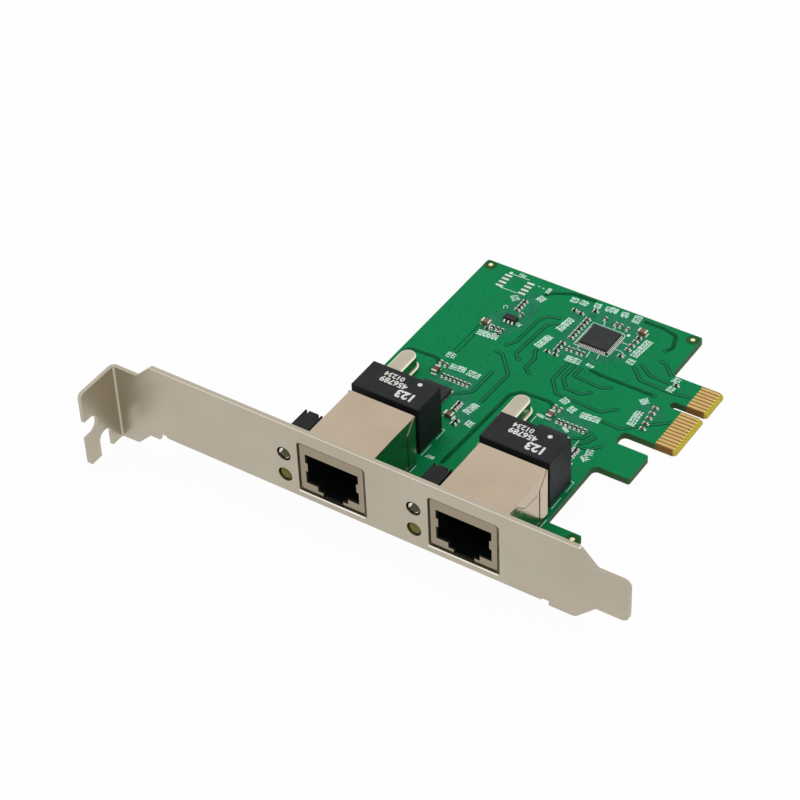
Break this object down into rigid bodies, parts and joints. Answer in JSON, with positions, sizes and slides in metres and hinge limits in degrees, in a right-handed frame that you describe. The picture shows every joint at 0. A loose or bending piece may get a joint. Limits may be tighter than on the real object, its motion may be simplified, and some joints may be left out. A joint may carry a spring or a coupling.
{
  "type": "network interface card",
  "caption": "Plug-in network interface card: green circuit board with edge connector, shielded network ports and a folded full-height slot bracket",
  "frame": {"origin": "centreline of the key notch in the edge connector, at the end of the fingers, at mid board thickness", "axes": "+X is the direction in which the edge connector is pushed into its slot, +Y runs from the bracket into the card, +Z points out of the component side"},
  "size_m": [0.12, 0.092, 0.0229],
  "materials": {
    "board": "glossy solder mask",
    "gold": "polished",
    "plated_steel": "satin",
    "screw_steel": "satin",
    "shell": "smooth",
    "can": "smooth",
    "tin": "bright",
    "black_plastic": "moulded",
    "case": "moulded",
    "chip": "moulded",
    "capacitor": "fired",
    "resistor": "fired",
    "clear_lens": "clear",
    "amber_lens": "tinted"
  },
  "bodies": {
    "root": {"circuit_board": "board", "edge_contacts_top": "gold", "edge_contacts_bottom": "gold", "bracket": "plated_steel", "bracket_screws": "screw_steel", "main_chip_body": "chip", "main_chip_leads": "tin", "regulator_body": "chip", "regulator_leads": "tin", "capacitor_bodies": "capacitor", "capacitor_ends": "tin", "resistor_bodies": "resistor", "resistor_ends": "tin", "spare_pads": "tin", "sighting_marks": "gold", "solder_joints": "tin", "port_1_shield": "shell", "port_1_housing": "black_plastic", "port_1_contacts": "gold", "transformer_1_case": "case", "transformer_1_pins": "tin", "light_1_holder": "black_plastic", "light_1_upper_lens": "clear_lens", "light_1_lower_lens": "amber_lens", "light_1_leads": "tin", "crystal_1_can": "can", "crystal_1_pins": "tin", "lan_chip_1_body": "chip", "lan_chip_1_pads": "tin", "port_2_shield": "shell", "port_2_housing": "black_plastic", "port_2_contacts": "gold", "transformer_2_case": "case", "transformer_2_pins": "tin", "light_2_holder": "black_plastic", "light_2_upper_lens": "clear_lens", "light_2_lower_lens": "amber_lens", "light_2_leads": "tin", "crystal_2_can": "can", "crystal_2_pins": "tin", "lan_chip_2_body": "chip", "lan_chip_2_pads": "tin"}
  },
  "joints": []
}
